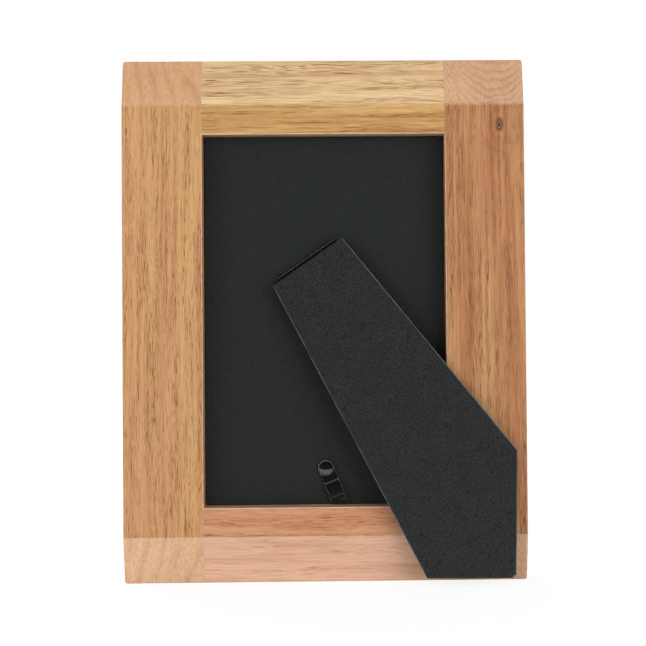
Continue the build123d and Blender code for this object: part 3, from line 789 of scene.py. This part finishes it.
bpy.ops.object.select_all(action="DESELECT")
bpy.ops.mesh.primitive_circle_add(vertices=RIVET_STEPS, radius=SHANK, fill_type="NGON")
rivet = bpy.context.object
rivet.name = "clip_rivet_head"
bpy.ops.object.mode_set(mode="EDIT")
pick_edges(rivet, lambda ends: True)
for (last_radius, last_level), (radius, level) in zip(profile, profile[1:]):
    bpy.ops.mesh.extrude_edges_move(TRANSFORM_OT_translate={"value": (0, 0, level - last_level)})
    bpy.ops.transform.resize(value=(radius / last_radius, radius / last_radius, 1), center_override=(0, 0, 0))
bpy.ops.mesh.extrude_edges_move(TRANSFORM_OT_translate={"value": (0, 0, dome_top - profile[-1][1])})
bpy.ops.mesh.merge(type="CENTER")
bpy.ops.mesh.select_all(action="SELECT")
bpy.ops.mesh.normals_make_consistent(inside=False)
bpy.ops.transform.translate(value=(0, 0, shank_end))
bpy.ops.object.mode_set(mode="OBJECT")
bpy.ops.object.shade_smooth_by_angle(angle=RIVET_SMOOTHING)
rivet.data.materials.append(lacquered_steel("rim_highlit_black_steel", (clip_out, *RIM_HIGHLIGHT)))
settle(rivet, clip_place)
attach(rivet, "backing")
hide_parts("clip_rivet")


# Studio: a white paper floor that sweeps up in front of the frame, a soft key light from the right, a weaker
# one from the left, and one on the front. A black cloth hood behind the camera keeps dark gloss dark.
FLOOR_REACH = 1.6
SWEEP_HEIGHT = 1.4
SWEEP_BEND = 0.6
SWEEP_STEPS = 16
GLOW_SHARE = 0.75
GLOW_STRENGTH = 1.15
ROOM_LIGHT = 0.5
HOOD_WIDTH = 3.0
HOOD_HEIGHT = 1.5
CLOTH_START = 0.12
CLOTH_LIFT = 1 * MM
HOOD_START = 0.67
HOOD_END = 1.6

# Each lamp's place, size and power, and whether polished surfaces show it.
LAMPS = {
    "key_right": ((-0.75, 0.85, 0.12), 0.9, 9.0, False),
    "fill_left": ((0.8, 0.85, 0.08), 0.9, 5.9, False),
    "front_fill": ((0.5, -0.8, 0.7), 0.6, 6.5, True),
}

bpy.ops.object.select_all(action="DESELECT")
bpy.ops.mesh.primitive_plane_add(size=2 * FLOOR_REACH)
floor = bpy.context.object
floor.name = "studio_floor"
bpy.ops.object.mode_set(mode="EDIT")
pick_edges(floor, lambda ends: all(end.y < 0 for end in ends))
bpy.ops.mesh.extrude_region_move(TRANSFORM_OT_translate={"value": (0, 0, SWEEP_HEIGHT)})
pick_edges(floor, lambda ends: all(end.y < 0 and abs(end.z) < NEAR for end in ends))
bpy.ops.mesh.bevel(offset=SWEEP_BEND, segments=SWEEP_STEPS, affect="EDGES")
bpy.ops.object.mode_set(mode="OBJECT")
bpy.ops.object.shade_smooth()


def seen_directly(tree):
    """One where the camera, a reflection or a view through glass looks straight at a surface."""
    rays = add(tree, "LightPath", {}).outputs
    mirrored = add(
        tree, "Math", {0: rays["Is Glossy Ray"], 1: rays["Is Transmission Ray"]}, operation="MAXIMUM"
    )
    return add(tree, "Math", {0: rays["Is Camera Ray"], 1: mirrored}, operation="MAXIMUM")


white_paper, tree, shader = new_finish("white_paper_sweep")
wire(tree, shader, {"Base Color": "f4f4f4", "Roughness": 0.9, "Specular IOR Level": 0.1})
glow_share = add(tree, "Math", {0: seen_directly(tree), 1: GLOW_SHARE}, operation="MULTIPLY")
glow = add(tree, "Emission", {"Color": "ffffff", "Strength": GLOW_STRENGTH})
sweep = add(tree, "MixShader", {0: glow_share, 1: shader.outputs[0], 2: glow})
wire(tree, tree.nodes["Material Output"], {"Surface": sweep})
floor.data.materials.append(white_paper)

world = bpy.data.worlds.new("white_studio")
bpy.context.scene.world = world
world.use_nodes = True
tree = world.node_tree
strength = add(tree, "MapRange", {"Value": seen_directly(tree), "To Min": ROOM_LIGHT, "To Max": 1.0})
wire(tree, tree.nodes["Background"], {"Color": "ffffff", "Strength": strength})

centre = (cad_box[0] + cad_box[1]) / 2
for name, (place, size, power, mirrored) in LAMPS.items():
    lamp = bpy.data.lights.new(name, "AREA")
    lamp.size = size
    lamp.energy = power
    light = bpy.data.objects.new(name, lamp)
    light.location = place
    light.rotation_euler = (centre - Vector(place)).to_track_quat("-Z", "Y").to_euler()
    light.visible_camera = False
    light.visible_glossy = mirrored
    bpy.context.scene.collection.objects.link(light)

bpy.ops.object.select_all(action="DESELECT")
bpy.ops.mesh.primitive_plane_add(size=1)
hood = bpy.context.object
hood.name = "black_hood"
bpy.ops.object.mode_set(mode="EDIT")
bpy.ops.mesh.select_all(action="SELECT")
bpy.ops.transform.resize(value=(HOOD_WIDTH, HOOD_START - CLOTH_START, 1), center_override=(0, 0, 0))
bpy.ops.transform.translate(value=(0, (HOOD_START + CLOTH_START) / 2, CLOTH_LIFT))
pick_edges(hood, lambda ends: all(end.y > HOOD_START - NEAR for end in ends))
bpy.ops.mesh.extrude_region_move(TRANSFORM_OT_translate={"value": (0, HOOD_END - HOOD_START, 0)})
pick_edges(hood, lambda ends: (ends[0].y + ends[1].y) / 2 > HOOD_START + NEAR)
bpy.ops.mesh.extrude_region_move(TRANSFORM_OT_translate={"value": (0, 0, HOOD_HEIGHT)})
pick_edges(hood, lambda ends: all(end.z > HOOD_HEIGHT / 2 for end in ends))
bpy.ops.mesh.edge_face_add()
bpy.ops.object.mode_set(mode="OBJECT")
hood.visible_camera = False
hood.visible_diffuse = False
hood.visible_shadow = False
black_cloth, tree, shader = new_finish("black_cloth")
wire(tree, shader, {"Base Color": "0a0a0a", "Roughness": 1.0, "Specular IOR Level": 0.0})
hood.data.materials.append(black_cloth)


# Camera: a long lens behind the frame, about level with its middle, with the photograph's small turn and
# shift. The turn is pitch, roll and yaw in degrees, and the focal length and shift are in the image's pixels.
IMAGE_SIZE = 646
FOCAL_PIXELS = 1425
SENSOR = 36.0
CAMERA_PLACE = Vector((-5.2, 610.5, 113.1)) * MM
CAMERA_TURN = (1.23, 0.46, 1.05)
CENTRE_SHIFT = (40, -40)

view = bpy.data.cameras.new("camera")
view.sensor_width = SENSOR
view.lens = FOCAL_PIXELS / IMAGE_SIZE * SENSOR
view.shift_x = -CENTRE_SHIFT[0] / IMAGE_SIZE
view.shift_y = CENTRE_SHIFT[1] / IMAGE_SIZE
camera = bpy.data.objects.new("camera", view)
camera.location = CAMERA_PLACE
pitch, roll, yaw = (math.radians(angle) for angle in CAMERA_TURN)
camera.rotation_euler = (math.pi / 2 + pitch, roll, math.pi - yaw)
bpy.context.scene.collection.objects.link(camera)
bpy.context.scene.camera = camera
bpy.context.scene.view_settings.view_transform = "Standard"
